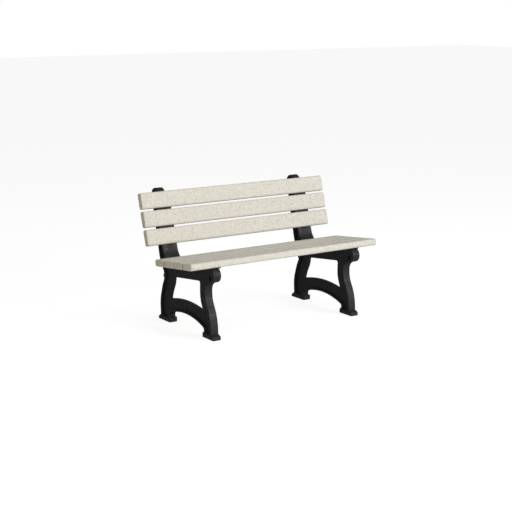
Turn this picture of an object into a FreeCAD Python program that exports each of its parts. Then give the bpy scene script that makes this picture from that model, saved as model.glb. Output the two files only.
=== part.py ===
import FreeCAD, Part
import math
import os

from FreeCAD import Vector

os.makedirs("parts", exist_ok=True)

# A four-foot park bench with a back: seven planks screwed to two moulded end frames.
# Millimetres. +X runs along the bench, -Y is the front, +Z is up.
# The origin is on the ground, midway along the bench and midway between its foremost
# and rearmost points.

# ---- planks ----
plank_length = 1219.2
plank_width = 88.9
plank_thickness = 38.1
plank_edge_radius = 9.5        # long edges
plank_end_radius = 6.0         # rim of the end faces
nose_radius = 13.0             # outer long edges of the seat's first and last planks
seat_planks = 4
back_planks = 3
seat_gap = 8.0
back_gap = 12.0

# ---- stance ----
seat_height = 428.0            # top of the seat at its front edge
seat_slope = math.radians(6.3)   # the seat falls towards the rear
back_tilt = math.radians(16.4)   # the back leans to the rear of upright
end_overhang = 151.4           # from a plank's end to the middle of an end frame

# ---- end frame, across the bench ----
rim_width = 47.0               # width of the rim that borders the frame
rim_thickness = 12.0           # depth of that rim, in the plane of the frame
web_thickness = 24.0           # plate inside the rim
roll_lap = 4.0                 # how far a roll's disc reaches into the rim
pad_ledge = 1.0                # how far a foot pad stands out beyond each side of the rim
wing_width = 94.0              # mounting strip that carries the planks
wing_thickness = 9.0
wing_corner_radius = 7.0
rim_round = 3.0
window_round = 4.0
wing_round = 2.0
pad_round = 2.0

# ---- end frame, in its own plane ----
scroll_radius = 39.5           # roll at the front end of the seat rail
scroll_setback = 34.5          # its centre, behind the seat's front edge
scroll_end = math.radians(-96)   # where the front leg's edge meets it
head_radius = 38.0             # roll at the head of the upright
head_drop = 9.0                # its centre, below the top of the highest plank
roll_recess = 3.0              # a roll's side face lies this far inside its rim
eye_size = 0.35                # dimple in the side of each roll, as a part of the roll's radius
eye_depth = 9.0
eye_drop = 0.38                # its centre below the roll's, as a part of the roll's radius
rail_run_out = 2.05            # straight rail behind the rear seat plank
elbow_radius = 92.0            # inside curve from the seat rail to the upright
back_rise = 24.0               # from the end of that curve to the lowest back plank
rail_depth = 79.5              # from the planks' underside to the window
upright_depth = 94.0           # front to rear of the upright, at its heel
upright_heel = 60.0            # height of that heel up the back, from the elbow's corner
wing_start = 29.0              # front end of the mounting strip, behind the seat's front edge
wing_drop = 15.0               # its upper end, below the top of the highest plank
arch_crown = 87.0              # highest point under the crossbar
arch_spring = 49.5             # ends of the arch, at the necks of the feet
arch_corner_radius = 13.0
crossbar_crown = 153.5         # highest point of the crossbar's upper edge
crossbar_shoulder = 131.5      # its ends, where it meets the legs
window_top_radius = 11.0
window_foot_radius = 4.0
window_front_foot = 119.0      # lower front corner of the window, behind the seat's front edge
window_front_top = 159.0       # upper front corner, along the rail
window_rear_foot = 18.3        # lower rear corner, behind the elbow's corner
window_rear_top = 28.0         # upper rear corner, in front of the elbow's corner
knuckle_radius = 14.0          # small roll on the rear leg, under the seat
knuckle_setback = 63.5         # its rearmost point, behind the elbow's corner
knuckle_height = 0.737         # its centre, as a part of the rear leg's height

# ---- legs and feet: distances behind the seat's front edge, or behind the elbow's corner ----
front_toe = -0.5
front_pad_length = 108.0
front_shin = 21.7              # foremost point of the front leg, above its pad
front_neck = 96.0              # rear of the front leg, below the arch
rear_toe = -1.5
rear_pad_length = 122.5
rear_neck = 14.6               # front of the rear leg, below the arch
rear_calf = 100.0              # rearmost point of the rear leg, above its pad
leg_root = 10.0                # the legs end this high, inside their pads
leg_straight = 33.0            # the legs run straight up to this height
pad_height = 27.0
toe_height = 18.0
toe_length = 19.0
heel_height = 13.0
heel_length = 17.0
pad_nose_radius = 5.0

# ---- curved edges of the legs: the same distances, and heights as a part of the leg's height ----
front_leg_knots = [(26.7, 0.162), (45.2, 0.330), (69.7, 0.463), (78.5, 0.587), (74.5, 0.683)]
rear_leg_knots = [(97.0, 1.010), (73.0, 0.875), (57.5, 0.793), (56.5, 0.681), (68.2, 0.601),
                  (86.3, 0.448), (97.3, 0.332), (101.9, 0.169)]
window_front_knots = [(127.4, 0.340), (138.4, 0.406), (148.5, 0.504), (150.7, 0.595)]
window_rear_knots = [(-25.5, 0.706), (-20.5, 0.630), (-9.8, 0.553), (2.7, 0.476), (12.1, 0.400)]
hook_knots = [(76.5, -94.0), (60.0, -85.0)]   # under the scroll: along the rail, and above it

# ---- fasteners ----
screw_radius = 2.9
screw_point = 5.0              # length of the tapered end
screw_tip_radius = 0.4
screw_tip_cover = 11.7         # plank left beyond the screw's tip
screw_inset = 21.0             # seat screws' line, behind the mounting strip's front end
screw_head_radius = 6.0
screw_head_height = 3.6
screw_head_round = 1.8
drive_radius = 1.9
drive_depth = 2.0
washer_radius = 8.0
washer_thickness = 1.6
hole_clearance = 0.4           # radial, screw to frame and screw to washer
pilot_clearance = 0.05         # radial, screw to plank
pilot_end_room = 1.5           # pilot hole beyond the screw's point
cut_allowance = 1.0            # how far a cutter runs past the face it opens
same_point = 0.01              # points nearer than this count as one
arc_fit = 0.1                  # how closely a run of arcs follows its curve


def polar(centre, radius, angle):
    """Point at a radius and an angle from a (y, z) centre."""
    return (centre[0] + radius * math.cos(angle), centre[1] + radius * math.sin(angle))


def rail_point(along, above):
    """Point behind the seat's front edge and above the planks' underside, in (y, z)."""
    rail_front = seat_height - plank_thickness * math.cos(seat_slope)
    return (
        along * math.cos(seat_slope) + above * math.sin(seat_slope),
        rail_front - along * math.sin(seat_slope) + above * math.cos(seat_slope),
    )


pad_width = rim_width + 2 * pad_ledge
screw_offset = (rim_width + wing_width) / 4   # midway across each exposed half of the strip
screw_grip = plank_thickness - screw_tip_cover
screw_length = washer_thickness + wing_thickness + screw_grip   # under the head
seat_depth = seat_planks * plank_width + (seat_planks - 1) * seat_gap
back_height = back_planks * plank_width + (back_planks - 1) * back_gap
elbow_angle = math.pi / 2 + back_tilt - seat_slope
elbow_tangent = elbow_radius / math.tan(elbow_angle / 2)
elbow_start = seat_depth + rail_run_out
elbow_corner = rail_point(elbow_start + elbow_tangent, 0.0)
back_start = elbow_tangent + back_rise
back_top = back_start + back_height


def back_point(along, behind):
    """Point up the upright's front face from the elbow's corner, and behind it, in (y, z)."""
    return (
        elbow_corner[0] + along * math.sin(back_tilt) + behind * math.cos(back_tilt),
        elbow_corner[1] + along * math.cos(back_tilt) - behind * math.sin(back_tilt),
    )


scroll_centre = rail_point(scroll_setback, -scroll_radius)
head_centre = back_point(back_top - head_drop, head_radius)
foremost = scroll_centre[0] - scroll_radius
rearmost = head_centre[0] + head_radius
frame_middle = plank_length / 2 - end_overhang
rail_front_height = rail_point(0.0, 0.0)[1]


def front_leg(offset, height):
    """Point on the front leg: behind the seat's edge, and up as a part of the leg's height."""
    return (offset, pad_height + height * (rail_front_height - pad_height))


def rear_leg(offset, height):
    """Point on the rear leg: behind the elbow's corner, and up as a part of the leg's height."""
    return (elbow_corner[0] + offset, pad_height + height * (elbow_corner[1] - pad_height))


def at(point, x=0.0):
    """Place a (y, z) point of the frame's plane in the bench's own axes."""
    return Vector(x, point[0] - (foremost + rearmost) / 2, point[1])


def line(a, b):
    """Straight edge between two (y, z) points."""
    return Part.makeLine(at(a), at(b))


def arc(a, middle, b):
    """Circular edge through three (y, z) points."""
    return Part.Arc(at(a), at(middle), at(b)).toShape()


def curve(knots, first=None, last=None):
    """Smooth run of arcs through the knots, with its direction given at both ends or at neither."""
    spline = Part.BSplineCurve()
    if first and last:
        spline.interpolate(
            Points=[at(knot) for knot in knots],
            InitialTangent=Vector(0, *first),
            FinalTangent=Vector(0, *last),
        )
    else:
        spline.interpolate([at(knot) for knot in knots])
    return [piece.toShape() for piece in spline.toBiArcs(arc_fit)]


def slab(wire, width):
    """Solid of a closed outline in the frame's plane, half its width to each side."""
    face = Part.Face(wire)
    face.translate(Vector(-width / 2, 0, 0))
    return face.extrude(Vector(width, 0, 0))


def edges_through(solid, point):
    """Edges that cross the frame's plane squarely at a point of its outline."""
    target = at(point)
    found = []
    for edge in solid.Edges:
        first, last = edge.discretize(2)
        across = first.x * last.x < 0
        if across and all(math.hypot(end.y - target.y, end.z - target.z) < same_point
                          for end in (first, last)):
            found.append(edge)
    return found


def side_edges(solid, width):
    """Edges that lie in the solid's two side planes, half its width from the middle."""
    found = []
    for edge in solid.Edges:
        if all(abs(abs(point.x) - width / 2) < same_point for point in edge.discretize(5)):
            found.append(edge)
    return found


def front_leg_edge():
    """Knots of the front leg's front edge, an S from the pad to the underside of the scroll."""
    return [
        (front_shin, leg_straight),
        *(front_leg(*knot) for knot in front_leg_knots),
        *(rail_point(*knot) for knot in hook_knots),
        polar(scroll_centre, scroll_radius, scroll_end),
    ]


def rear_leg_edge(heel):
    """Knots of the rear edge, from the upright's heel, past the knuckle, down to the pad."""
    calf = (elbow_corner[0] + rear_calf, leg_straight)
    return [heel, *(rear_leg(*knot) for knot in rear_leg_knots), calf]


def rear_edges():
    """Edges of the upright's head and of the whole rear, from the top roll down to the pad."""
    front = back_point(back_top - head_drop, 0.0)
    heel = back_point(upright_heel, upright_depth)
    reach = (heel[0] - head_centre[0], heel[1] - head_centre[1])
    turn = math.atan2(reach[1], reach[0]) + math.acos(head_radius / math.hypot(*reach))
    rear = polar(head_centre, head_radius, turn)
    top = polar(head_centre, head_radius, math.pi / 2)
    down = (heel[0] - rear[0], heel[1] - rear[1])
    return [
        arc(front, top, rear),
        line(rear, heel),
        *curve(rear_leg_edge(heel), down, (0.0, -1.0)),
    ]


def foot_edges():
    """Edges of the legs' roots and of the arch between them, from the rear leg forwards."""
    calf, neck = elbow_corner[0] + rear_calf, elbow_corner[0] + rear_neck
    crown = ((front_neck + neck) / 2, arch_crown)
    corners = [(calf, leg_straight), (calf, leg_root), (neck, leg_root), (neck, arch_spring)]
    edges = [line(a, b) for a, b in zip(corners, corners[1:])]
    edges.append(arc((neck, arch_spring), crown, (front_neck, arch_spring)))
    corners = [(front_neck, arch_spring), (front_neck, leg_root), (front_shin, leg_root),
               (front_shin, leg_straight)]
    edges += [line(a, b) for a, b in zip(corners, corners[1:])]
    return edges


def frame_outline():
    """Outline of the whole end frame, without its window, pads and mounting strip."""
    shin = front_leg_edge()
    nose = polar(scroll_centre, scroll_radius, math.pi)
    scroll_top = rail_point(scroll_setback, 0.0)
    elbow_in = rail_point(elbow_start, 0.0)
    elbow_out = back_point(elbow_tangent, 0.0)
    elbow_centre = back_point(elbow_tangent, -elbow_radius)
    bisector = math.atan2(elbow_corner[1] - elbow_centre[1], elbow_corner[0] - elbow_centre[0])
    along_scroll = polar((0.0, 0.0), 1.0, scroll_end - math.pi / 2)
    return Part.Wire([
        *curve(shin, (0.0, 1.0), along_scroll),
        arc(shin[-1], nose, scroll_top),
        line(scroll_top, elbow_in),
        arc(elbow_in, polar(elbow_centre, elbow_radius, bisector), elbow_out),
        line(elbow_out, back_point(back_top - head_drop, 0.0)),
        *rear_edges(),
        *foot_edges(),
    ])


def window_corners():
    """Corners of the window, clockwise from the foot of the front leg's side."""
    front_foot = (window_front_foot, crossbar_shoulder)
    front_top = rail_point(window_front_top, -rail_depth)
    rear_foot = (elbow_corner[0] + window_rear_foot, crossbar_shoulder)
    reach = (elbow_corner[0] - window_rear_top - front_top[0]) / math.cos(seat_slope)
    rear_top = rail_point(window_front_top + reach, -rail_depth)
    return front_foot, front_top, rear_top, rear_foot


def window_outline():
    """Outline of the window between the legs, above the crossbar and below the rail."""
    front_foot, front_top, rear_top, rear_foot = window_corners()
    crown = ((front_foot[0] + rear_foot[0]) / 2, crossbar_crown)
    front_side = [front_foot, *(front_leg(*knot) for knot in window_front_knots), front_top]
    rear_side = [rear_top, *(rear_leg(*knot) for knot in window_rear_knots), rear_foot]
    return Part.Wire([
        *curve(front_side),
        line(front_top, rear_top),
        *curve(rear_side),
        arc(rear_foot, crown, front_foot),
    ])


def blank(width):
    """The outline's full solid, with the arch's corners rounded."""
    solid = slab(frame_outline(), width)
    neck = elbow_corner[0] + rear_neck
    corners = edges_through(solid, (front_neck, arch_spring))
    corners += edges_through(solid, (neck, arch_spring))
    return solid.makeFillet(arch_corner_radius, corners)


def rim():
    """The frame's border, a rounded band that follows the outline."""
    solid = blank(rim_width)
    side = [face for face in solid.Faces if abs(face.CenterOfMass.x + rim_width / 2) < same_point][0]
    border = side.OuterWire
    border.translate(Vector(rim_width / 2, 0, 0))
    solid = solid.cut(slab(border.makeOffset2D(-rim_thickness), 2 * rim_width))
    return solid.makeFillet(rim_round, side_edges(solid, rim_width))


def web():
    """The plate inside the border, with the window cut through it and its edges rounded."""
    opening = slab(window_outline(), 2 * rim_width)
    front_foot, front_top, rear_top, rear_foot = window_corners()
    for radius, corners in (
        (window_foot_radius, (front_foot, rear_foot)),
        (window_top_radius, (front_top, rear_top)),
    ):
        edges = [edge for corner in corners for edge in edges_through(opening, corner)]
        opening = opening.makeFillet(radius, edges)
    plate = blank(web_thickness).cut(opening).Solids[0]
    window = opening.BoundBox
    edges = []
    for edge in side_edges(plate, web_thickness):
        middle = edge.CenterOfMass
        if window.YMin < middle.y < window.YMax and window.ZMin < middle.z < window.ZMax:
            edges.append(edge)
    return plate.makeFillet(window_round, edges)


def roll(centre, radius):
    """Disc that fills a roll inside its rim, with a dimple in each side."""
    width = rim_width - 2 * roll_recess
    across = Vector(1, 0, 0)
    disc = Part.makeCylinder(radius - rim_thickness + roll_lap, width, at(centre, -width / 2), across)
    disc = disc.makeFillet(roll_recess / 2, side_edges(disc, width))
    low = (centre[0], centre[1] - eye_drop * radius)
    for side in (-1, 1):
        start = at(low, side * (width / 2 - eye_depth))
        depth = eye_depth + cut_allowance
        dimple = Part.makeCylinder(eye_size * radius, depth, start, Vector(side, 0, 0))
        disc = disc.cut(dimple)
    return disc


def knuckle():
    """Small roll across the rear leg, under the seat."""
    centre = rear_leg(knuckle_setback - knuckle_radius, knuckle_height)
    solid = Part.makeCylinder(knuckle_radius, rim_width, at(centre, -rim_width / 2), Vector(1, 0, 0))
    return solid.makeFillet(rim_round, side_edges(solid, rim_width))


def mounting_strip():
    """Wide strip along the top of the rail and up the front of the upright."""
    top = back_top - wing_drop
    centre = back_point(elbow_tangent, -elbow_radius)
    bisector = math.atan2(elbow_corner[1] - centre[1], elbow_corner[0] - centre[0])
    thick = wing_thickness
    outline = Part.Wire([
        line(rail_point(wing_start, 0.0), rail_point(elbow_start, 0.0)),
        arc(rail_point(elbow_start, 0.0), polar(centre, elbow_radius, bisector),
            back_point(elbow_tangent, 0.0)),
        line(back_point(elbow_tangent, 0.0), back_point(top, 0.0)),
        line(back_point(top, 0.0), back_point(top, thick)),
        line(back_point(top, thick), back_point(elbow_tangent, thick)),
        arc(back_point(elbow_tangent, thick), polar(centre, elbow_radius + thick, bisector),
            rail_point(elbow_start, -thick)),
        line(rail_point(elbow_start, -thick), rail_point(wing_start, -thick)),
        line(rail_point(wing_start, -thick), rail_point(wing_start, 0.0)),
    ])
    solid = slab(outline, wing_width)
    ends = [at(rail_point(wing_start, -thick / 2)), at(back_point(top, thick / 2))]
    corners = []
    for edge in side_edges(solid, wing_width):
        middle = edge.CenterOfMass
        if any(math.hypot(middle.y - end.y, middle.z - end.z) < same_point for end in ends):
            corners.append(edge)
    solid = solid.makeFillet(wing_corner_radius, corners)
    return solid.makeFillet(wing_round, side_edges(solid, wing_width))


def pad(points, nose_corners):
    """Foot pad of a closed outline, with its nose rounded and its edges eased."""
    loop = points + points[:1]
    solid = slab(Part.Wire([line(a, b) for a, b in zip(loop, loop[1:])]), pad_width)
    edges = [edge for corner in nose_corners for edge in edges_through(solid, corner)]
    solid = solid.makeFillet(pad_nose_radius, edges)
    return solid.makeFillet(pad_round, side_edges(solid, pad_width))


def front_pad():
    """Front foot, chamfered at its toe."""
    toe, heel = front_toe, front_toe + front_pad_length
    points = [(toe, 0.0), (heel, 0.0), (heel, pad_height), (toe + toe_length, pad_height),
              (toe, toe_height)]
    return pad(points, points[2:])


def rear_pad():
    """Rear foot, chamfered at its heel."""
    toe = elbow_corner[0] + rear_toe
    heel = toe + rear_pad_length
    points = [(toe, 0.0), (heel, 0.0), (heel, heel_height), (heel - heel_length, pad_height),
              (toe, pad_height)]
    return pad(points, points[2:])


def planks():
    """Every plank's name, placement, rounded edges' places and screw line, on its own flat axes."""
    listed = []
    tilt = FreeCAD.Rotation(Vector(1, 0, 0), -math.degrees(seat_slope))
    for i in range(seat_planks):
        start = FreeCAD.Placement(at(rail_point(i * (plank_width + seat_gap), 0.0)), tilt)
        noses = [0.0] if i == 0 else [plank_width] if i == seat_planks - 1 else []
        listed.append((f"seat_plank_{i + 1}", start, noses, wing_start + screw_inset))
    tilt = FreeCAD.Rotation(Vector(1, 0, 0), 90 - math.degrees(back_tilt))
    for i in range(back_planks):
        along = back_start + i * (plank_width + back_gap)
        start = FreeCAD.Placement(at(back_point(along, 0.0)), tilt)
        listed.append((f"back_plank_{i + 1}", start, [], plank_width / 2))
    return listed


def screw_places(screw_line):
    """Where a plank's four screws stand, under the mounting strips, on the plank's flat axes."""
    return [
        Vector(side * frame_middle + offset, screw_line, -wing_thickness)
        for side in (-1, 1)
        for offset in (-screw_offset, screw_offset)
    ]


def plank(noses, screw_line):
    """Plank with its long edges and ends rounded, and its blind pilot holes."""
    solid = Part.makeBox(plank_length, plank_width, plank_thickness, Vector(-plank_length / 2, 0, 0))
    for radius in (nose_radius, plank_edge_radius):
        chosen = []
        for edge in solid.Edges:
            first, last = edge.discretize(2)
            sharp = min(first.y, plank_width - first.y) < same_point
            sharp = sharp and min(first.z, plank_thickness - first.z) < same_point
            if sharp and abs(first.x - last.x) > plank_length / 2:
                if (first.y in noses) == (radius == nose_radius):
                    chosen.append(edge)
        if chosen:
            solid = solid.makeFillet(radius, chosen)
    solid = solid.makeFillet(plank_end_radius, side_edges(solid, plank_length))
    for place in screw_places(screw_line):
        foot = Vector(place.x, place.y, -cut_allowance)
        depth = screw_grip + pilot_end_room + cut_allowance
        solid = solid.cut(Part.makeCylinder(screw_radius + pilot_clearance, depth, foot))
    return solid


def screw():
    """Pan-head screw standing on the underside of its head, point up, with a square socket."""
    head = Part.makeCylinder(screw_head_radius, screw_head_height, Vector(0, 0, -screw_head_height))
    crown = [edge for edge in head.Edges
             if all(abs(point.z + screw_head_height) < same_point for point in edge.discretize(5))]
    head = head.makeFillet(screw_head_round, crown)
    straight = screw_length - screw_point
    shank = Part.makeCylinder(screw_radius, straight)
    point = Part.makeCone(screw_radius, screw_tip_radius, screw_point, Vector(0, 0, straight))
    socket = Part.makeBox(2 * drive_radius, 2 * drive_radius, drive_depth + cut_allowance)
    socket.translate(Vector(-drive_radius, -drive_radius, -screw_head_height - cut_allowance))
    return head.fuse([shank, point]).cut(socket).removeSplitter()


def washer():
    """Flat washer, its upper face at height zero."""
    ring = Part.makeCylinder(washer_radius, washer_thickness, Vector(0, 0, -washer_thickness))
    hole = Part.makeCylinder(
        screw_radius + hole_clearance,
        washer_thickness + 2 * cut_allowance,
        Vector(0, 0, -washer_thickness - cut_allowance),
    )
    return ring.cut(hole)


def copies(solid, places, drop):
    """One solid per place, lowered by the given amount, as a compound."""
    parts = []
    for place in places:
        part = solid.copy()
        part.translate(place - Vector(0, 0, drop))
        parts.append(part)
    return Part.makeCompound(parts)


def end_frame():
    """One moulded end frame about the plane x = 0, drilled for its screws."""
    pieces = [
        web(),
        roll(scroll_centre, scroll_radius),
        roll(head_centre, head_radius),
        knuckle(),
        mounting_strip(),
        front_pad(),
        rear_pad(),
    ]
    solid = rim().fuse(pieces).removeSplitter()
    for _, placement, _, screw_line in planks():
        for offset in (-screw_offset, screw_offset):
            foot = Vector(offset, screw_line, -wing_thickness - cut_allowance)
            drill = Part.makeCylinder(
                screw_radius + hole_clearance, wing_thickness + 2 * cut_allowance, foot
            )
            drill.Placement = placement.multiply(drill.Placement)
            solid = solid.cut(drill)
    return solid.Solids[0]


def export(shape, name):
    """Write one node's STEP file and say what it holds."""
    shape.exportStep(f"parts/{name}.step")
    print(name, "valid" if shape.isValid() else "INVALID", len(shape.Solids), round(shape.Volume))


def main():
    """Build and write every node."""
    frame = end_frame()
    for name, x in (("left_end_frame", -frame_middle), ("right_end_frame", frame_middle)):
        placed = frame.copy()
        placed.translate(Vector(x, 0, 0))
        export(placed, name)
    one_screw, one_washer = screw(), washer()
    for name, placement, noses, screw_line in planks():
        places = screw_places(screw_line)
        group = {
            name: plank(noses, screw_line),
            name + "_screws": copies(one_screw, places, washer_thickness),
            name + "_washers": copies(one_washer, places, 0.0),
        }
        for node, shape in group.items():
            shape.Placement = placement.multiply(shape.Placement)
            export(shape, node)


main()
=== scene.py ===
"""A four-foot park bench: cream flecked planks screwed to black moulded end frames."""

import logging
import math
from dataclasses import dataclass
from enum import Enum
from typing import Any

import bpy
import numpy as np
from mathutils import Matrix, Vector


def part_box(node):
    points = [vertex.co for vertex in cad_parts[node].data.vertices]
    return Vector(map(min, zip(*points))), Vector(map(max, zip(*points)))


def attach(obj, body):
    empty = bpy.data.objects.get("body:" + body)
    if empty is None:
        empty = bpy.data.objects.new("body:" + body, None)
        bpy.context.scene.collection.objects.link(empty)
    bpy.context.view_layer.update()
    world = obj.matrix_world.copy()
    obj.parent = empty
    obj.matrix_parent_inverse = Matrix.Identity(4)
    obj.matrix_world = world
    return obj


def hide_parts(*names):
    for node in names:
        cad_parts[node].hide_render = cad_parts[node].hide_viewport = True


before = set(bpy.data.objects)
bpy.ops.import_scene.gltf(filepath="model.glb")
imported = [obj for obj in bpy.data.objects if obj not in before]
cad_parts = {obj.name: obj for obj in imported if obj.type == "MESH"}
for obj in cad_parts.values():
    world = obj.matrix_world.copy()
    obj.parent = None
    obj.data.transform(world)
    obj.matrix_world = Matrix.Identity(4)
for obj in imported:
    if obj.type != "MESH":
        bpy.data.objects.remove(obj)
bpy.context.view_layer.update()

ROOT = "root"
WHITE = (1.0, 1.0, 1.0)
Colour = tuple[float, float, float]
Place = tuple[float, float, float]
logging.basicConfig(level=logging.INFO, format="%(message)s")
log = logging.getLogger("bench")


# ---------------------------------------------------------------- shader maths


class Wire:
    """A node's output socket, on which arithmetic adds Math nodes."""

    def __init__(self, tree: bpy.types.NodeTree, socket: bpy.types.NodeSocket) -> None:
        """Keep the socket and the tree that it belongs to."""
        self.tree = tree
        self.socket = socket

    def math(self, operation: str, left: Any, right: Any = 0.0) -> "Wire":
        """Add one Math node.

        Args:
            operation: The node's operation, such as "ADD".
            left: A wire or a number for the first input.
            right: A wire or a number for the second input.

        Returns:
            The node's output.
        """
        node = self.tree.nodes.new("ShaderNodeMath")
        node.operation = operation
        for slot, value in zip(node.inputs, (left, right)):
            if isinstance(value, Wire):
                self.tree.links.new(value.socket, slot)
            else:
                slot.default_value = value
        return Wire(self.tree, node.outputs[0])

    def __add__(self, other: Any) -> "Wire":
        """Return this plus other."""
        return self.math("ADD", self, other)

    def __radd__(self, other: Any) -> "Wire":
        """Return other plus this."""
        return self.math("ADD", other, self)

    def __sub__(self, other: Any) -> "Wire":
        """Return this less other."""
        return self.math("SUBTRACT", self, other)

    def __rsub__(self, other: Any) -> "Wire":
        """Return other less this."""
        return self.math("SUBTRACT", other, self)

    def __mul__(self, other: Any) -> "Wire":
        """Return this times other."""
        return self.math("MULTIPLY", self, other)

    def __rmul__(self, other: Any) -> "Wire":
        """Return other times this."""
        return self.math("MULTIPLY", other, self)

    def __abs__(self) -> "Wire":
        """Return this without its sign."""
        return self.math("ABSOLUTE", self)


@dataclass(frozen=True)
class Band:
    """The stretch of a value over which a layer comes in or goes out, and its full strength."""

    low: float
    high: float
    strength: float = 1.0


class Paint:
    """One material's node tree, with a Principled shader at its end."""

    def __init__(self, name: str) -> None:
        """Make the material with its shader and its object coordinates."""
        self.material = bpy.data.materials.new(name)
        self.material.use_nodes = True
        self.tree = self.material.node_tree
        self.shader = next(n for n in self.tree.nodes if n.type == "BSDF_PRINCIPLED")
        self.place = self.add("ShaderNodeTexCoord", {}, {}, "Object")

    def add(
        self,
        kind: str,
        settings: dict[str, Any],
        sockets: dict[Any, Any],
        output: Any = 0,
    ) -> Wire:
        """Add any node, set its properties, then fill or link its sockets.

        Args:
            kind: The node's type name.
            settings: Its properties.
            sockets: Socket name or index to a wire or a value.
            output: Name or index of the output to return.

        Returns:
            The chosen output.
        """
        node = self.tree.nodes.new(kind)
        for key, value in settings.items():
            setattr(node, key, value)
        for key, value in sockets.items():
            if isinstance(value, Wire):
                self.tree.links.new(value.socket, node.inputs[key])
            else:
                node.inputs[key].default_value = value
        return Wire(self.tree, node.outputs[output])

    def moved(self, shift: Place) -> Wire:
        """The object coordinates, moved by a shift."""
        return self.add("ShaderNodeVectorMath", {"operation": "ADD"}, {0: self.place, 1: shift})

    def noise(self, size: float, detail: float, shift: Place = (0.0, 0.0, 0.0)) -> Wire:
        """Cloudy noise, about 0 to 1.

        Args:
            size: About how large its lumps are, in metres.
            detail: How many finer layers it has.
            shift: Where in the noise to look.

        Returns:
            The noise.
        """
        sockets = {"Vector": self.moved(shift), "Scale": 1.0 / size, "Detail": detail}
        return self.add("ShaderNodeTexNoise", {}, sockets)

    def cells(self, size: float, shift: Place) -> Wire:
        """Distance from the middles of scattered cells of about the given size in metres."""
        sockets = {"Vector": self.moved(shift), "Scale": 1.0 / size}
        return self.add("ShaderNodeTexVoronoi", {}, sockets)

    def step(self, value: Wire, low: float, high: float) -> Wire:
        """Smooth step: 0 below low, 1 above high."""
        sockets = {"Value": value, "From Min": low, "From Max": high}
        return self.add("ShaderNodeMapRange", {"interpolation_type": "SMOOTHSTEP"}, sockets)

    def layer(self, value: Wire, band: Band) -> Wire:
        """How strongly a layer shows: 0 below its band, and the band's strength above it."""
        return self.step(value, band.low, band.high) * band.strength

    def mix(self, factor: Wire, first: Any, second: Any) -> Wire:
        """Blend two colours, the first where the factor is 0 and the second where it is 1."""
        colours = [c if isinstance(c, Wire) else (*c, 1.0) for c in (first, second)]
        sockets = {0: factor, 6: colours[0], 7: colours[1]}
        return self.add("ShaderNodeMix", {"data_type": "RGBA"}, sockets, 2)

    def axis(self, name: str) -> Wire:
        """One of the object coordinates, in metres."""
        return self.add("ShaderNodeSeparateXYZ", {}, {0: self.place}, name)

    def facing(self, name: str) -> Wire:
        """How squarely the surface faces along an axis, either way, from 0 to 1."""
        normal = self.add("ShaderNodeNewGeometry", {}, {}, "Normal")
        return abs(self.add("ShaderNodeSeparateXYZ", {}, {0: normal}, name))

    def attribute(self, name: str) -> Wire:
        """The number that the mesh keeps at each point under that name."""
        return self.add("ShaderNodeAttribute", {"attribute_name": name}, {}, "Fac")

    def bump(self, height: Wire, depth: float) -> None:
        """Feed a height from 0 to 1 to the normal, as relief of the given depth in metres."""
        sockets = {"Height": height, "Distance": depth, "Strength": 1.0}
        self.feed("Normal", self.add("ShaderNodeBump", {}, sockets))

    def feed(self, socket: str, value: Any) -> None:
        """Give the Principled shader a wire, a number or a colour."""
        if isinstance(value, Wire):
            self.tree.links.new(value.socket, self.shader.inputs[socket])
        else:
            self.shader.inputs[socket].default_value = value


# ---------------------------------------------------------------- finishes


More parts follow.
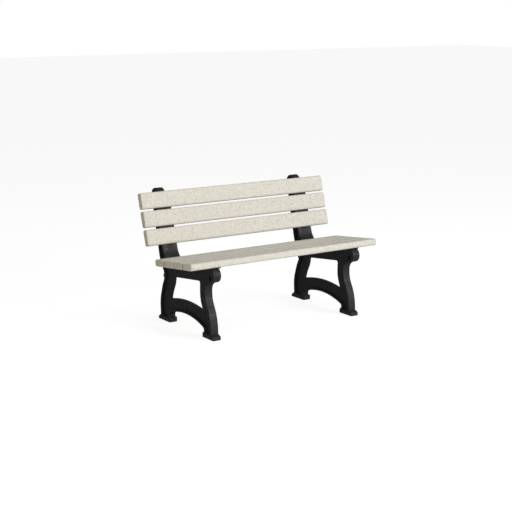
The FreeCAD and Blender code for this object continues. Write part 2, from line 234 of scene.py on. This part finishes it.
@dataclass(frozen=True)
class FleckedPlastic:
    """Cream recycled plastic peppered with fine grey-brown flecks, matt, with saw-marked ends painted
    darker and warmer as shade, and painted shade on its gap sides.
    """

    name: str = "cream_flecked_plastic"
    ground: Colour = (0.795, 0.762, 0.672)
    pale: Colour = (0.855, 0.830, 0.750)
    pepper: Colour = (0.300, 0.285, 0.245)
    tan: Colour = (0.540, 0.485, 0.385)
    # painted shade, darker and warmer, for the end faces
    end_shade: Colour = (0.600, 0.535, 0.385)
    # painted shade colour for the sides of the gaps between planks
    gap_shade_colour: Colour = (0.130, 0.118, 0.088)
    cloud_size: float = 0.020
    pale_band: Band = Band(0.30, 0.70)
    tan_size: float = 0.0060
    tan_band: Band = Band(0.54, 0.68, 0.42)
    pepper_size: float = 0.0036
    pepper_band: Band = Band(0.23, 0.46, 0.50)
    chip_size: float = 0.0088
    chip_band: Band = Band(0.17, 0.34, 0.54)
    crowd_band: Band = Band(0.44, 0.56)
    plank_band: Band = Band(0.0, 1.0, 0.10)
    # band over which the painted gap shade comes in
    gap_shade_band: Band = Band(1.2, 2.8, 0.70)
    end_band: Band = Band(0.88, 0.99)
    # how strongly the end faces take the painted shade
    end_shade_strength: float = 0.42
    roughness: float = 0.46
    roughness_change: float = 0.14
    specular: float = 0.45
    pebble_size: float = 0.0014
    pebble_depth: float = 0.00013
    saw_scale: float = 260.0
    saw_depth: float = 0.8

    def fleck(self, paint: Paint, colour: Wire) -> Wire:
        """Pepper a colour with two sizes of fleck, which crowd together in patches."""
        patches = paint.noise(self.chip_size, 2.0, (7.3, 1.1, 4.2))
        crowd = paint.layer(patches, self.crowd_band)
        for size, band in ((self.pepper_size, self.pepper_band), (self.chip_size, self.chip_band)):
            spots = 1.0 - paint.step(paint.cells(size, (0.4, 2.2, size)), band.low, band.high)
            colour = paint.mix(spots * crowd * band.strength, colour, self.pepper)
        return colour

    def make(self) -> bpy.types.Material:
        """Build the material; a number kept at each point tints a plank at random and paints shade on
        the sides of its gaps.

        Returns:
            The finished material.
        """
        paint = Paint(self.name)
        cloud = paint.noise(self.cloud_size, 3.0)
        colour = paint.mix(paint.layer(cloud, self.pale_band), self.ground, self.pale)
        tan = paint.noise(self.tan_size, 2.0, (3.1, 0.7, 1.9))
        colour = paint.mix(paint.layer(tan, self.tan_band), colour, self.tan)
        colour = self.fleck(paint, colour)
        tone_and_gap_shade = paint.attribute("tone_and_gap_shade")
        colour = paint.mix(paint.layer(tone_and_gap_shade, self.plank_band), colour, self.tan)
        # painted shade: darken the sides of each gap between planks, where shade falls
        colour = paint.mix(paint.layer(tone_and_gap_shade, self.gap_shade_band), colour, self.gap_shade_colour)
        # painted shade: end faces, turned along X, are painted darker and warmer, standing in for
        # shade and warm bounce light
        end = paint.layer(paint.facing("X"), self.end_band)
        paint.feed("Base Color", paint.mix(end * self.end_shade_strength, colour, self.end_shade))
        change = self.roughness_change
        paint.feed("Roughness", self.roughness + change * cloud + change * end)
        paint.feed("Specular IOR Level", self.specular)
        marks = paint.add(
            "ShaderNodeTexWave",
            {"wave_type": "BANDS", "bands_direction": "DIAGONAL"},
            {"Vector": paint.place, "Scale": self.saw_scale, "Distortion": 3.0, "Detail": 2.0},
        )
        pebble = paint.noise(self.pebble_size, 3.0, (1.7, 5.3, 0.2))
        paint.bump(pebble + 0.5 * cloud + end * marks * self.saw_depth, self.pebble_depth)
        return paint.material


@dataclass(frozen=True)
class MouldedPlastic:
    """Black recycled plastic: satin, mottled where it flowed, with painted light on faces turned from
    X, which are paler than the X-facing sides.
    """

    name: str = "black_moulded_plastic"
    black: Colour = (0.0032, 0.0037, 0.0040)
    charcoal: Colour = (0.0165, 0.0178, 0.0186)
    dust: Colour = (0.070, 0.067, 0.060)
    grain_size: float = 0.0012
    grain_depth: float = 0.00030
    mottle_size: float = 0.0110
    flow_size: float = 0.045
    blotch_band: Band = Band(0.38, 0.66)
    blotch_strength: float = 0.45
    flow_strength: float = 0.25
    # painted light on faces turned from X: where it comes in, and how strongly
    painted_light_band: Band = Band(0.35, 0.85)
    painted_light_strength: float = 0.45
    middle: float = 0.4582
    rim_band: Band = Band(0.0195, 0.0230)
    dusty_below: float = 0.030
    dust_strength: float = 0.22
    roughness: float = 0.58
    blotch_polish: float = 0.18
    flow_polish: float = 0.08
    specular: float = 0.40

    def make(self) -> bpy.types.Material:
        """Build the material.

        Returns:
            The finished material.
        """
        paint = Paint(self.name)
        flow = paint.noise(self.flow_size, 4.0)
        mottle = paint.noise(self.mottle_size, 4.0, (2.6, 5.2, 0.4))
        grain = paint.noise(self.grain_size, 3.0, (0.9, 3.4, 2.8))
        blotch = paint.layer(mottle, self.blotch_band)
        from_middle = abs(abs(paint.axis("X")) - self.middle)
        rim = paint.layer(from_middle, self.rim_band)
        # painted light: faces turned from X are lifted towards charcoal, leaving the X-facing sides
        # darker as painted shade
        edge = 1.0 - paint.layer(paint.facing("X"), self.painted_light_band)
        mottling = blotch * self.blotch_strength + flow * self.flow_strength
        colour = paint.mix(mottling, self.black, self.charcoal)
        colour = paint.mix(edge * self.painted_light_strength, colour, self.charcoal)
        low = 1.0 - paint.step(paint.axis("Z"), 0.0, self.dusty_below)
        colour = paint.mix(low * blotch * self.dust_strength, colour, self.dust)
        paint.feed("Base Color", colour)
        dull = self.roughness - self.blotch_polish * blotch + self.flow_polish * flow
        paint.feed("Roughness", dull - self.flow_polish * rim * edge)
        paint.feed("Specular IOR Level", self.specular)
        paint.bump(0.25 * grain + mottle + 0.6 * flow, self.grain_depth)
        return paint.material


class Wear(Enum):
    """How far the coating on a piece of steel has worn, from none at 0 to bare at 1."""

    SCREW = 0.40
    WASHER = 0.15


@dataclass(frozen=True)
class CoatedSteel:
    """Steel under a thin black coating, which has worn through in spots and along fine rings."""

    name: str
    wear: Wear
    coating: Colour = (0.0100, 0.0105, 0.0110)
    steel: Colour = (0.32, 0.31, 0.30)
    ring_count: float = 3200.0
    ring_depth: float = 0.00002
    ring_share: float = 0.3
    spot_size: float = 0.0022
    worn_band: Band = Band(0.80, 0.92)
    roughness: float = 0.42

    def make(self) -> bpy.types.Material:
        """Build the material; its rings follow the "ring" attribute, a distance along the profile.

        Returns:
            The finished material.
        """
        paint = Paint(self.name)
        sockets = {"W": paint.attribute("ring") * self.ring_count, "Detail": 3.0}
        rings = paint.add("ShaderNodeTexNoise", {"noise_dimensions": "1D"}, sockets)
        spots = paint.noise(self.spot_size, 4.0)
        bare = paint.layer(spots + self.ring_share * rings, self.worn_band) * self.wear.value
        paint.feed("Base Color", paint.mix(bare, self.coating, self.steel))
        paint.feed("Metallic", bare)
        paint.feed("Roughness", self.roughness + 0.12 * spots - 0.10 * bare)
        paint.bump(rings + 0.5 * spots, self.ring_depth)
        return paint.material


# ---------------------------------------------------------------- surfaces


@dataclass
class Skin:
    """Points and faces of one or more closed surfaces, with a number kept at each point."""

    points: np.ndarray
    quads: np.ndarray
    fans: np.ndarray
    marks: np.ndarray

    @classmethod
    def stack(cls, rings: np.ndarray, marks: np.ndarray, looped: bool = False) -> "Skin":
        """Join a stack of rings into a closed surface.

        Neighbouring rings are joined by four-sided faces. A looped stack joins its last ring
        to its first; any other is closed by a fan from each end ring to that ring's middle.

        Args:
            rings: Points by ring, then around the ring, then x, y, z.
            marks: Numbers by ring, then one for the whole ring or one for each of its points.
            looped: Whether the last ring meets the first.

        Returns:
            The surface, with its faces outwards.
        """
        rows, around = rings.shape[:2]
        index = np.arange(rows * around).reshape(rows, around)
        turned = np.roll(index, -1, axis=1)
        upper, upper_turned = np.roll(index, -1, axis=0), np.roll(turned, -1, axis=0)
        span = slice(None) if looped else slice(0, -1)
        quads = np.stack([index[span], turned[span], upper_turned[span], upper[span]], axis=-1)
        points = rings.reshape(-1, 3)
        values = np.broadcast_to(marks, (rows, around)).reshape(-1)
        fans = np.zeros((0, 3), int)
        if not looped:
            poles = rings[[0, -1]].mean(axis=1)
            first, last = len(points), len(points) + 1
            near = np.stack([turned[0], index[0], np.full(around, first)], axis=-1)
            far = np.stack([index[-1], turned[-1], np.full(around, last)], axis=-1)
            points = np.vstack([points, poles])
            values = np.concatenate([values, marks[[0, -1]].mean(axis=1)])
            fans = np.vstack([near, far])
        skin = cls(points, quads.reshape(-1, 4), fans, values)
        return skin if skin.volume() > 0 else skin.flipped()

    def volume(self) -> float:
        """Enclosed volume: a sum over triangles of their corners' triple product over six."""
        split = [self.quads[:, [0, 1, 2]], self.quads[:, [0, 2, 3]], self.fans]
        a, b, c = (self.points[np.vstack(split)[:, k]] for k in range(3))
        return float(np.einsum("ij,ij->i", a, np.cross(b, c)).sum() / 6.0)

    def flipped(self) -> "Skin":
        """The same surface with its faces turned over."""
        return Skin(self.points, self.quads[:, ::-1], self.fans[:, ::-1], self.marks)

    def placed(self, origin: np.ndarray, axes: np.ndarray) -> "Skin":
        """The surface moved to an origin, its own x, y and z along the rows of axes."""
        return Skin(self.points @ axes + origin, self.quads, self.fans, self.marks)

    @staticmethod
    def joined(skins: list["Skin"]) -> "Skin":
        """Several surfaces as one."""
        starts = np.cumsum([0] + [len(s.points) for s in skins[:-1]])
        return Skin(
            np.vstack([s.points for s in skins]),
            np.vstack([s.quads + k for s, k in zip(skins, starts)]),
            np.vstack([s.fans + k for s, k in zip(skins, starts)]),
            np.concatenate([s.marks for s in skins]),
        )

    def piece(
        self,
        name: str,
        material: bpy.types.Material,
        mark: str,
        sharp: float,
    ) -> bpy.types.Object:
        """Make the surface an object.

        Args:
            name: The piece's name.
            material: Its finish.
            mark: Name of the attribute that holds the marks.
            sharp: Angle in degrees above which an edge stays sharp.

        Returns:
            The object, linked into the scene at the origin.
        """
        mesh = bpy.data.meshes.new(name)
        mesh.from_pydata(self.points.tolist(), [], self.quads.tolist() + self.fans.tolist())
        kept = mesh.attributes.new(mark, "FLOAT", "POINT")
        kept.data.foreach_set("value", self.marks.astype(np.float32))
        return add_object(name, mesh, material, sharp)


def add_object(
    name: str,
    mesh: bpy.types.Mesh,
    material: bpy.types.Material,
    sharp: float,
) -> bpy.types.Object:
    """Link a mesh into the scene, smooth apart from its sharp edges.

    Args:
        name: The object's name.
        mesh: Its finished mesh.
        material: Its finish.
        sharp: Angle in degrees above which an edge stays sharp.

    Returns:
        The object.
    """
    mesh.materials.append(material)
    mesh.validate()
    mesh.shade_smooth()
    mesh.set_sharp_from_angle(angle=math.radians(sharp))
    piece = bpy.data.objects.new(name, mesh)
    bpy.context.scene.collection.objects.link(piece)
    return piece


def stand_for(piece: bpy.types.Object, slot: str, *nodes: str) -> None:
    """Let a piece ride on the bench in place of CAD nodes."""
    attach(piece, ROOT)
    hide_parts(*nodes)
    log.info("%s stands for %s, %d faces", piece.name, ", ".join(nodes), len(piece.data.polygons))


# ---------------------------------------------------------------- planks


@dataclass
class Plank:
    """One plank: a rounded rectangle carried along X, with rounded ends, a little sunk and uneven."""

    node: str
    tilt: float
    front_radius: float = 0.0095
    rear_radius: float = 0.0095
    width: float = 0.0889
    thickness: float = 0.0381
    end_radius: float = 0.006
    end_points: int = 7
    run_points: int = 97
    cap_shares: tuple[float, ...] = (0.8, 0.55, 0.3, 0.1)
    sink: float = 0.00035
    narrow_sink: float = 0.25
    ripple: float = 0.00022
    slow_wave: float = 9.0
    quick_wave: float = 31.0
    slow_share: float = 0.35
    quick_share: float = 0.15
    fade_radii: float = 4.0
    gap_facing: float = 0.8
    # how much the sides of a gap are raised, for the finish's painted shade
    gap_shade_weight: float = 2.0
    sharp: float = 50.0
    front_gap: bool = True
    rear_gap: bool = True
    seed: int = 0

    def axes(self) -> np.ndarray:
        """The plank's own length, width and thickness directions, as rows."""
        cosine, sine = math.cos(self.tilt), math.sin(self.tilt)
        return np.array([[1.0, 0.0, 0.0], [0.0, cosine, sine], [0.0, -sine, cosine]])

    def centre(self) -> np.ndarray:
        """The plank's middle, from its node's box.

        Each side of the box touches one rounded edge. That edge's middle line stands half the
        width and half the thickness from the plank's middle, each less the edge's radius.

        Returns:
            The middle, in metres.
        """
        low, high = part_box(self.node)
        axes = self.axes()
        across, up = abs(axes[1]), abs(axes[2])

        def reach(radius: float, k: int) -> float:
            """How far the edge of that radius stands from the middle along axis k."""
            flat = (self.width / 2 - radius) * across[k] + (self.thickness / 2 - radius) * up[k]
            return flat + radius

        top, bottom = self.rear_radius, self.front_radius
        if self.tilt < 0:
            top, bottom = bottom, top
        y = (low.y + reach(self.front_radius, 1) + high.y - reach(self.rear_radius, 1)) / 2
        z = (low.z + reach(bottom, 2) + high.z - reach(top, 2)) / 2
        return np.array([(low.x + high.x) / 2, y, z])

    def section(
        self,
        arc_points: int = 7,
        side_points: tuple[int, int] = (15, 5),
    ) -> tuple[np.ndarray, ...]:
        """The cross-section: four arcs joined by straight sides.

        Args:
            arc_points: Points on each rounded corner.
            side_points: Points between corners on a wide and on a narrow side.

        Returns:
            The points, their outward directions, and how far each sinks, from 0 at the corners
            to 1 in the middle of a wide side.
        """
        radii = np.array([self.rear_radius, self.front_radius, self.front_radius, self.rear_radius])
        signs = np.array([[1, 1], [-1, 1], [-1, -1], [1, -1]])
        middles = signs * (np.array([self.width, self.thickness]) / 2 - radii[:, None])
        turn = np.linspace(0.0, math.pi / 2, arc_points)
        angles = turn[None, :] + np.arange(4)[:, None] * math.pi / 2
        normals = np.stack([np.cos(angles), np.sin(angles)], axis=-1)
        arcs = middles[:, None, :] + radii[:, None, None] * normals
        points, outwards, sinks = [], [], []
        for corner in range(4):
            count = side_points[corner % 2]
            share = np.linspace(0.0, 1.0, count + 2)[1:-1, None]
            start, end = arcs[corner, -1], arcs[(corner + 1) % 4, 0]
            points += [arcs[corner], start + share * (end - start)]
            outwards += [normals[corner], np.repeat(normals[corner, -1:], count, axis=0)]
            wide = 1.0 if corner % 2 == 0 else self.narrow_sink
            sinks += [np.zeros(arc_points), wide * np.sin(math.pi * share[:, 0]) ** 2]
        return np.vstack(points), np.vstack(outwards), np.concatenate(sinks)

    def stations(self, half: float) -> tuple[np.ndarray, np.ndarray, np.ndarray]:
        """The places along the plank that have a section of their own.

        Args:
            half: Half the plank's length, in metres.

        Returns:
            Each one's x, how far its section is drawn in to round the end, and the share of its
            size that is left, which falls from 1 to close the end faces.
        """
        turn = np.linspace(0.0, math.pi / 2, self.end_points)
        rounding = half - self.end_radius + self.end_radius * np.sin(turn)
        drawn_in = self.end_radius * (1.0 - np.cos(turn))
        cap = np.array(self.cap_shares)
        straight = half - self.end_radius
        run = np.linspace(-straight, straight, self.run_points)[1:-1]
        face, edge = np.full(len(cap), half), np.full(len(cap), drawn_in[-1])
        x = np.concatenate([-face, -rounding[::-1], run, rounding, face])
        inset = np.concatenate([edge, drawn_in[::-1], np.zeros(len(run)), drawn_in, edge])
        full = np.ones(len(x) - 2 * len(cap))
        return x, inset, np.concatenate([cap[::-1], full, cap])

    def skin(self) -> Skin:
        """The whole surface.

        Each station's section is drawn in along its outward directions and shrunk by its share.
        Away from the ends it also sinks by a smooth hollow and by slow and quick sines of x.
        Each point also keeps one random number for the plank, from 0 to 1. That number is raised
        further on the sides of a gap, where the finish turns it into painted shade.

        Returns:
            The surface in the bench's own axes.
        """
        draw = np.random.default_rng(self.seed)
        low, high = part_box(self.node)
        half = (high.x - low.x) / 2
        x, inset, share = self.stations(half)
        section, outward, sinks = self.section()
        phases = draw.uniform(0.0, 2 * math.pi, 4)
        around = np.linspace(0.0, 2 * math.pi, len(section), endpoint=False)
        swing = np.sin(around + phases[1])
        slow = np.sin(x[:, None] * self.slow_wave + phases[0] + swing)
        swing = 2.0 * np.sin(around + phases[3])
        quick = np.sin(x[:, None] * self.quick_wave + phases[2] + swing)
        waves = 0.5 + self.slow_share * slow + self.quick_share * quick
        uneven = self.sink * sinks + self.ripple * waves
        from_end = (half - np.abs(x)) / (self.fade_radii * self.end_radius)
        depth = inset[:, None] + np.clip(from_end, 0.0, 1.0)[:, None] * uneven
        flat = share[:, None, None] * (section - depth[..., None] * outward)
        along = np.broadcast_to(x[:, None, None], (*flat.shape[:2], 1))
        rings = np.concatenate([along, flat], axis=-1)
        sideways = (np.abs(outward[:, 0]) - self.gap_facing) / (1.0 - self.gap_facing)
        open_sides = np.where(outward[:, 0] < 0.0, self.front_gap, self.rear_gap)
        body = (share == 1.0) * (1.0 - inset / self.end_radius)
        gap = body[:, None] * np.clip(sideways, 0.0, 1.0) * open_sides
        # painted shade: the sides of a gap get a higher number, which the finish darkens
        tone_and_gap_shade = draw.uniform(0.0, 1.0) + self.gap_shade_weight * gap
        return Skin.stack(rings, tone_and_gap_shade).placed(self.centre(), self.axes())

    def build(self, finish: bpy.types.Material) -> None:
        """Make the plank and let it stand for its node."""
        piece = self.skin().piece(self.node + "_board", finish, "tone_and_gap_shade", self.sharp)
        stand_for(piece, "plank_plastic", self.node)


# ---------------------------------------------------------------- screws and washers


@dataclass
class Fasteners:
    """The four screws and four washers that hold one plank."""

    plank: Plank
    washer_radius: float = 0.008
    washer_hole: float = 0.0033
    washer_thickness: float = 0.0016
    ease: float = 0.0003
    head_radius: float = 0.006
    head_height: float = 0.0036
    head_bulge: float = 0.0018
    head_turn: float = 62.0
    head_points: int = 6
    drive_half: float = 0.0019
    drive_depth: float = 0.002
    drive_corner: float = 1.28
    drive_eases: tuple[float, float] = (0.0004, 0.0002)
    lip: float = 0.0001
    lip_shares: tuple[float, float] = (1.55, 0.86)
    shank_radius: float = 0.0024
    thread_depth: float = 0.0005
    thread_pitch: float = 0.0024
    thread_slope: float = 3.2
    thread_start: float = 0.009
    thread_fade_in: float = 0.003
    thread_fade_out: float = 0.004
    rows_per_pitch: int = 10
    length: float = 0.037
    point: float = 0.005
    point_radius: float = 0.0002
    point_rows: int = 14
    around: int = 32
    sharp: float = 40.0

    def places(self) -> list[np.ndarray]:
        """Where the washers' middles are, mirrored from the right end frame to the left."""
        low, high = (np.array(corner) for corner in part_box(self.plank.node + "_washers"))
        middle = sum(corner.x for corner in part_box("right_end_frame")) / 2
        offset = high[0] - self.washer_radius - middle
        y, z = (low[1:] + high[1:]) / 2
        ways = [(side, step) for side in (-1, 1) for step in (-1, 1)]
        return [np.array([side * middle + step * offset, y, z]) for side, step in ways]

    def angles(self) -> np.ndarray:
        """The directions of the points around a ring."""
        return np.linspace(0.0, 2 * math.pi, self.around, endpoint=False)

    def rings(self, profile: np.ndarray) -> np.ndarray:
        """A profile of (radius, height) rows turned about the Z axis."""
        angle = self.angles()
        radius = profile[:, :1]
        height = np.broadcast_to(profile[:, 1:], (len(profile), self.around))
        return np.stack([radius * np.cos(angle), radius * np.sin(angle), height], axis=-1)

    def washer(self) -> Skin:
        """A flat ring with eased edges: a rounded rectangle turned about its hole."""
        half, ease = self.washer_thickness / 2, self.ease
        inner, outer = self.washer_hole, self.washer_radius
        turn = np.linspace(0.0, math.pi / 2, 4)
        corner = np.stack([np.cos(turn), np.sin(turn)], axis=-1) * ease
        signs = [(1, 1), (-1, 1), (-1, -1), (1, -1)]
        loop = []
        for k, (across, up) in enumerate(signs):
            side = outer if across > 0 else inner
            base = np.array([side - across * ease, up * (half - ease)])
            bend = corner * [across, up]
            loop.append(base + (bend if k % 2 == 0 else bend[::-1]))
        profile = np.vstack(loop)
        return Skin.stack(self.rings(profile), profile[:, :1], looped=True)

    def head(self, seat: float) -> tuple[np.ndarray, np.ndarray]:
        """The profile of the screw's drive socket, then of its head, down to the shank.

        Args:
            seat: Height of the head's underside.

        Returns:
            The socket's rows and the head's rows, each row a radius and a height.
        """
        crown = seat - self.head_height
        floor = crown + self.drive_depth
        edge = self.head_radius - self.head_bulge
        low, high = floor - self.drive_eases[0], crown + self.drive_eases[1]
        socket = np.array([[0.5, floor], [1.0, floor], [1.0, low], [1.0, high]])
        socket[:, 0] *= self.drive_half
        near, far = self.lip_shares
        lip = np.array([[self.drive_half * near, crown], [edge * far, crown + self.lip]])
        dome = np.linspace(math.radians(self.head_turn), 0.0, self.head_points)
        across = edge + self.head_bulge * np.cos(dome)
        rounded = np.stack([across, crown + self.head_bulge * (1 - np.sin(dome))], axis=-1)
        rim, inner = self.head_radius, self.head_radius - self.ease
        under = np.array([[rim, seat - self.ease], [inner, seat], [self.shank_radius, seat]])
        return socket, np.vstack([lip, rounded, under])

    def shank(self, seat: float) -> np.ndarray:
        """The profile of the screw's shank and point, without the thread."""
        end = seat + self.length - self.point
        rows = int(round((end - seat) / self.thread_pitch * self.rows_per_pitch))
        height = np.linspace(seat, end, rows)[1:]
        straight = np.stack([np.full(len(height), self.shank_radius), height], axis=-1)
        narrowing = np.linspace(self.shank_radius, self.point_radius, self.point_rows)
        height = np.linspace(end, end + self.point, self.point_rows)
        return np.vstack([straight, np.stack([narrowing, height], axis=-1)[1:]])

    def screw(self) -> Skin:
        """A pan-head screw, its washer's middle at the origin and its point along +Z.

        The profile runs from the drive socket's floor over the head and down the shank. The
        socket's rings pass from round to square: the radius is half the square's side over the
        larger of |cos| and |sin| of the angle. The thread adds a triangle wave of height less
        a turn, which makes a helix, and fades out at both ends.

        Returns:
            The surface.
        """
        seat = -self.washer_thickness / 2
        tip = seat + self.length
        socket, head = self.head(seat)
        shank = self.shank(seat)
        profile = np.vstack([socket, head, shank])
        rings = self.rings(profile)
        angle = self.angles()
        square = 1.0 / np.maximum(np.abs(np.cos(angle)), np.abs(np.sin(angle)))
        rings[: len(socket), :, :2] *= np.minimum(square, self.drive_corner)[None, :, None]
        start = len(profile) - len(shank)
        z = rings[start:, :, 2]
        phase = (z - seat) / self.thread_pitch - angle[None, :] / (2 * math.pi)
        wave = np.clip(1.0 - np.abs((phase % 1.0) - 0.5) * self.thread_slope, 0.0, 1.0)
        fade = np.clip((z - seat - self.thread_start) / self.thread_fade_in, 0.0, 1.0)
        fade = fade * np.clip((tip - z) / self.thread_fade_out, 0.0, 1.0)
        radius = np.maximum(np.hypot(rings[start:, :, 0], rings[start:, :, 1]), 1e-6)
        rings[start:, :, :2] *= (1.0 + self.thread_depth * wave * fade / radius)[..., None]
        travelled = np.hypot(*np.diff(profile, axis=0).T).cumsum()
        return Skin.stack(rings, np.concatenate([[0.0], travelled])[:, None])

    def build(self, screw_steel: bpy.types.Material, washer_steel: bpy.types.Material) -> None:
        """Make the plank's screws and washers, each kind as one piece of four solids."""
        axes = self.plank.axes()
        kinds = (
            ("_screws", self.screw(), screw_steel, "screw_steel"),
            ("_washers", self.washer(), washer_steel, "washer_steel"),
        )
        for suffix, one, steel, slot in kinds:
            node = self.plank.node + suffix
            four = Skin.joined([one.placed(place, axes) for place in self.places()])
            piece = four.piece(node + "_set", steel, "ring", self.sharp)
            stand_for(piece, slot, node)


# ---------------------------------------------------------------- end frames


@dataclass
class EndFrame:
    """One moulded end frame: its CAD surface with shared corners, smooth over its rounded edges."""

    node: str
    same: float = 1e-6
    sharp: float = 34.0
    face_weight: int = 50

    def build(self, finish: bpy.types.Material) -> None:
        """Make the frame and let it stand for its node."""
        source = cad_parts[self.node].data
        points = np.zeros(len(source.vertices) * 3, np.float32)
        source.vertices.foreach_get("co", points)
        corners = np.zeros(len(source.loops), np.int32)
        source.loops.foreach_get("vertex_index", corners)
        keys = np.round(points.reshape(-1, 3) / self.same).astype(np.int64)
        _, first, shared = np.unique(keys, axis=0, return_index=True, return_inverse=True)
        triangles = shared.reshape(-1)[corners].reshape(-1, 3)
        whole = (triangles[:, 0] != triangles[:, 1]) & (triangles[:, 1] != triangles[:, 2])
        whole &= triangles[:, 2] != triangles[:, 0]
        mesh = bpy.data.meshes.new(self.node)
        mesh.from_pydata(points.reshape(-1, 3)[first].tolist(), [], triangles[whole].tolist())
        piece = add_object(self.node + "_moulding", mesh, finish, self.sharp)
        normals = piece.modifiers.new("flat_faces_first", "WEIGHTED_NORMAL")
        normals.keep_sharp = True
        normals.weight = self.face_weight
        stand_for(piece, "frame_plastic", self.node)


# ---------------------------------------------------------------- the whole bench


@dataclass
class Bench:
    """The seven planks, their fasteners and the two end frames."""

    seat_slope: float = math.radians(-6.3)
    back_lean: float = math.radians(90 - 16.4)
    nose_radius: float = 0.013

    def planks(self) -> list[Plank]:
        """Every plank, the seat's from front to rear and the back's from the lowest up."""
        seat = [Plank(f"seat_plank_{k}", self.seat_slope, seed=k) for k in range(1, 5)]
        seat[0].front_radius, seat[0].front_gap = self.nose_radius, False
        seat[-1].rear_radius, seat[-1].rear_gap = self.nose_radius, False
        back = [Plank(f"back_plank_{k}", self.back_lean, seed=10 + k) for k in range(1, 4)]
        return seat + back

    def build(self) -> None:
        """Make every piece and dress it."""
        cream = FleckedPlastic().make()
        screw_steel = CoatedSteel("black_screw_steel", Wear.SCREW).make()
        washer_steel = CoatedSteel("black_washer_steel", Wear.WASHER).make()
        for plank in self.planks():
            plank.build(cream)
            Fasteners(plank).build(screw_steel, washer_steel)
        black = MouldedPlastic().make()
        for side in ("left", "right"):
            EndFrame(f"{side}_end_frame").build(black)


# ---------------------------------------------------------------- studio


@dataclass
class Studio:
    """A white floor and surround, soft lamps and the camera."""

    floor_size: float = 60.0
    floor_drop: float = 0.0004
    floor_grey: float = 0.34
    floor_glow: float = 0.86
    ambient: float = 0.22
    aim_height: float = 0.40
    warm: Colour = (1.0, 0.90, 0.68)
    bounce_place: Place = (-1.0, -2.5, 0.003)
    camera_place: Place = (-3.694, -5.498, 1.750)
    camera_down: float = 11.98
    camera_turn: float = -33.89
    camera_lens: float = 85.04
    sensor_width: float = 36.0

    def floor(self) -> None:
        """A plain floor, whose glow keeps it white and whose shadows stay faint."""
        half = self.floor_size / 2
        corners = [(-half, -half), (half, -half), (half, half), (-half, half)]
        mesh = bpy.data.meshes.new("floor")
        mesh.from_pydata([(x, y, -self.floor_drop) for x, y in corners], [], [(0, 1, 2, 3)])
        paint = Paint("white_floor")
        grey = self.floor_grey
        paint.feed("Base Color", (grey, grey, grey, 1.0))
        paint.feed("Roughness", 1.0)
        paint.feed("Specular IOR Level", 0.0)
        paint.feed("Emission Color", (*WHITE, 1.0))
        paint.feed("Emission Strength", self.floor_glow)
        floor = add_object("floor", mesh, paint.material, 30.0)
        floor.visible_diffuse = False
        floor.visible_glossy = False

    def surround(self) -> None:
        """A white surround to look at, which lights the bench only softly."""
        world = bpy.data.worlds.new("surround")
        bpy.context.scene.world = world
        world.use_nodes = True
        tree = world.node_tree
        background = next(n for n in tree.nodes if n.type == "BACKGROUND")
        seen = tree.nodes.new("ShaderNodeLightPath").outputs["Is Camera Ray"]
        strength = Wire(tree, seen) * (1.0 - self.ambient) + self.ambient
        background.inputs["Color"].default_value = (*WHITE, 1.0)
        tree.links.new(strength.socket, background.inputs["Strength"])

    def lamp(
        self,
        name: str,
        place: Place,
        target: Vector,
        size: float,
        power: float,
        tint: Colour = WHITE,
    ) -> None:
        """A square soft lamp.

        Args:
            name: The lamp's name.
            place: Where it stands, in metres.
            target: What it is aimed at, in metres.
            size: Its side, in metres.
            power: Its power, in watts.
            tint: Its colour.
        """
        data = bpy.data.lights.new(name, "AREA")
        data.size = size
        data.energy = power
        data.color = tint
        lamp = bpy.data.objects.new(name, data)
        lamp.location = place
        aim = target - Vector(place)
        lamp.rotation_euler = aim.to_track_quat("-Z", "Y").to_euler()
        lamp.visible_camera = False
        bpy.context.scene.collection.objects.link(lamp)

    def camera(self) -> None:
        """A long lens, above the bench and to the left of its front."""
        data = bpy.data.cameras.new("camera")
        data.lens = self.camera_lens
        data.sensor_width = self.sensor_width
        camera = bpy.data.objects.new("camera", data)
        camera.location = self.camera_place
        turn = (math.radians(90.0 - self.camera_down), 0.0, math.radians(self.camera_turn))
        camera.rotation_euler = turn
        bpy.context.scene.collection.objects.link(camera)
        bpy.context.scene.camera = camera

    def build(self) -> None:
        """Set up the whole studio."""
        self.floor()
        self.surround()
        middle = Vector((0.0, 0.0, self.aim_height))
        above = Vector(self.bounce_place[:2] + (1.0,))
        self.lamp("key", (2.6, -4.6, 2.2), middle, 2.6, 132.0)
        self.lamp("fill", (-1.2, -5.0, 1.2), middle, 3.0, 40.0)
        self.lamp("top", (0.3, -0.6, 4.2), middle, 3.0, 30.0)
        self.lamp("side", (-4.4, -2.6, 0.9), middle, 2.4, 46.0, self.warm)
        self.lamp("bounce", self.bounce_place, above, 4.4, 21.0)
        self.camera()
        bpy.context.scene.view_settings.view_transform = "Standard"


def main() -> None:
    """Build the bench and the studio."""
    Bench().build()
    Studio().build()


if __name__ == "__main__":
    main()
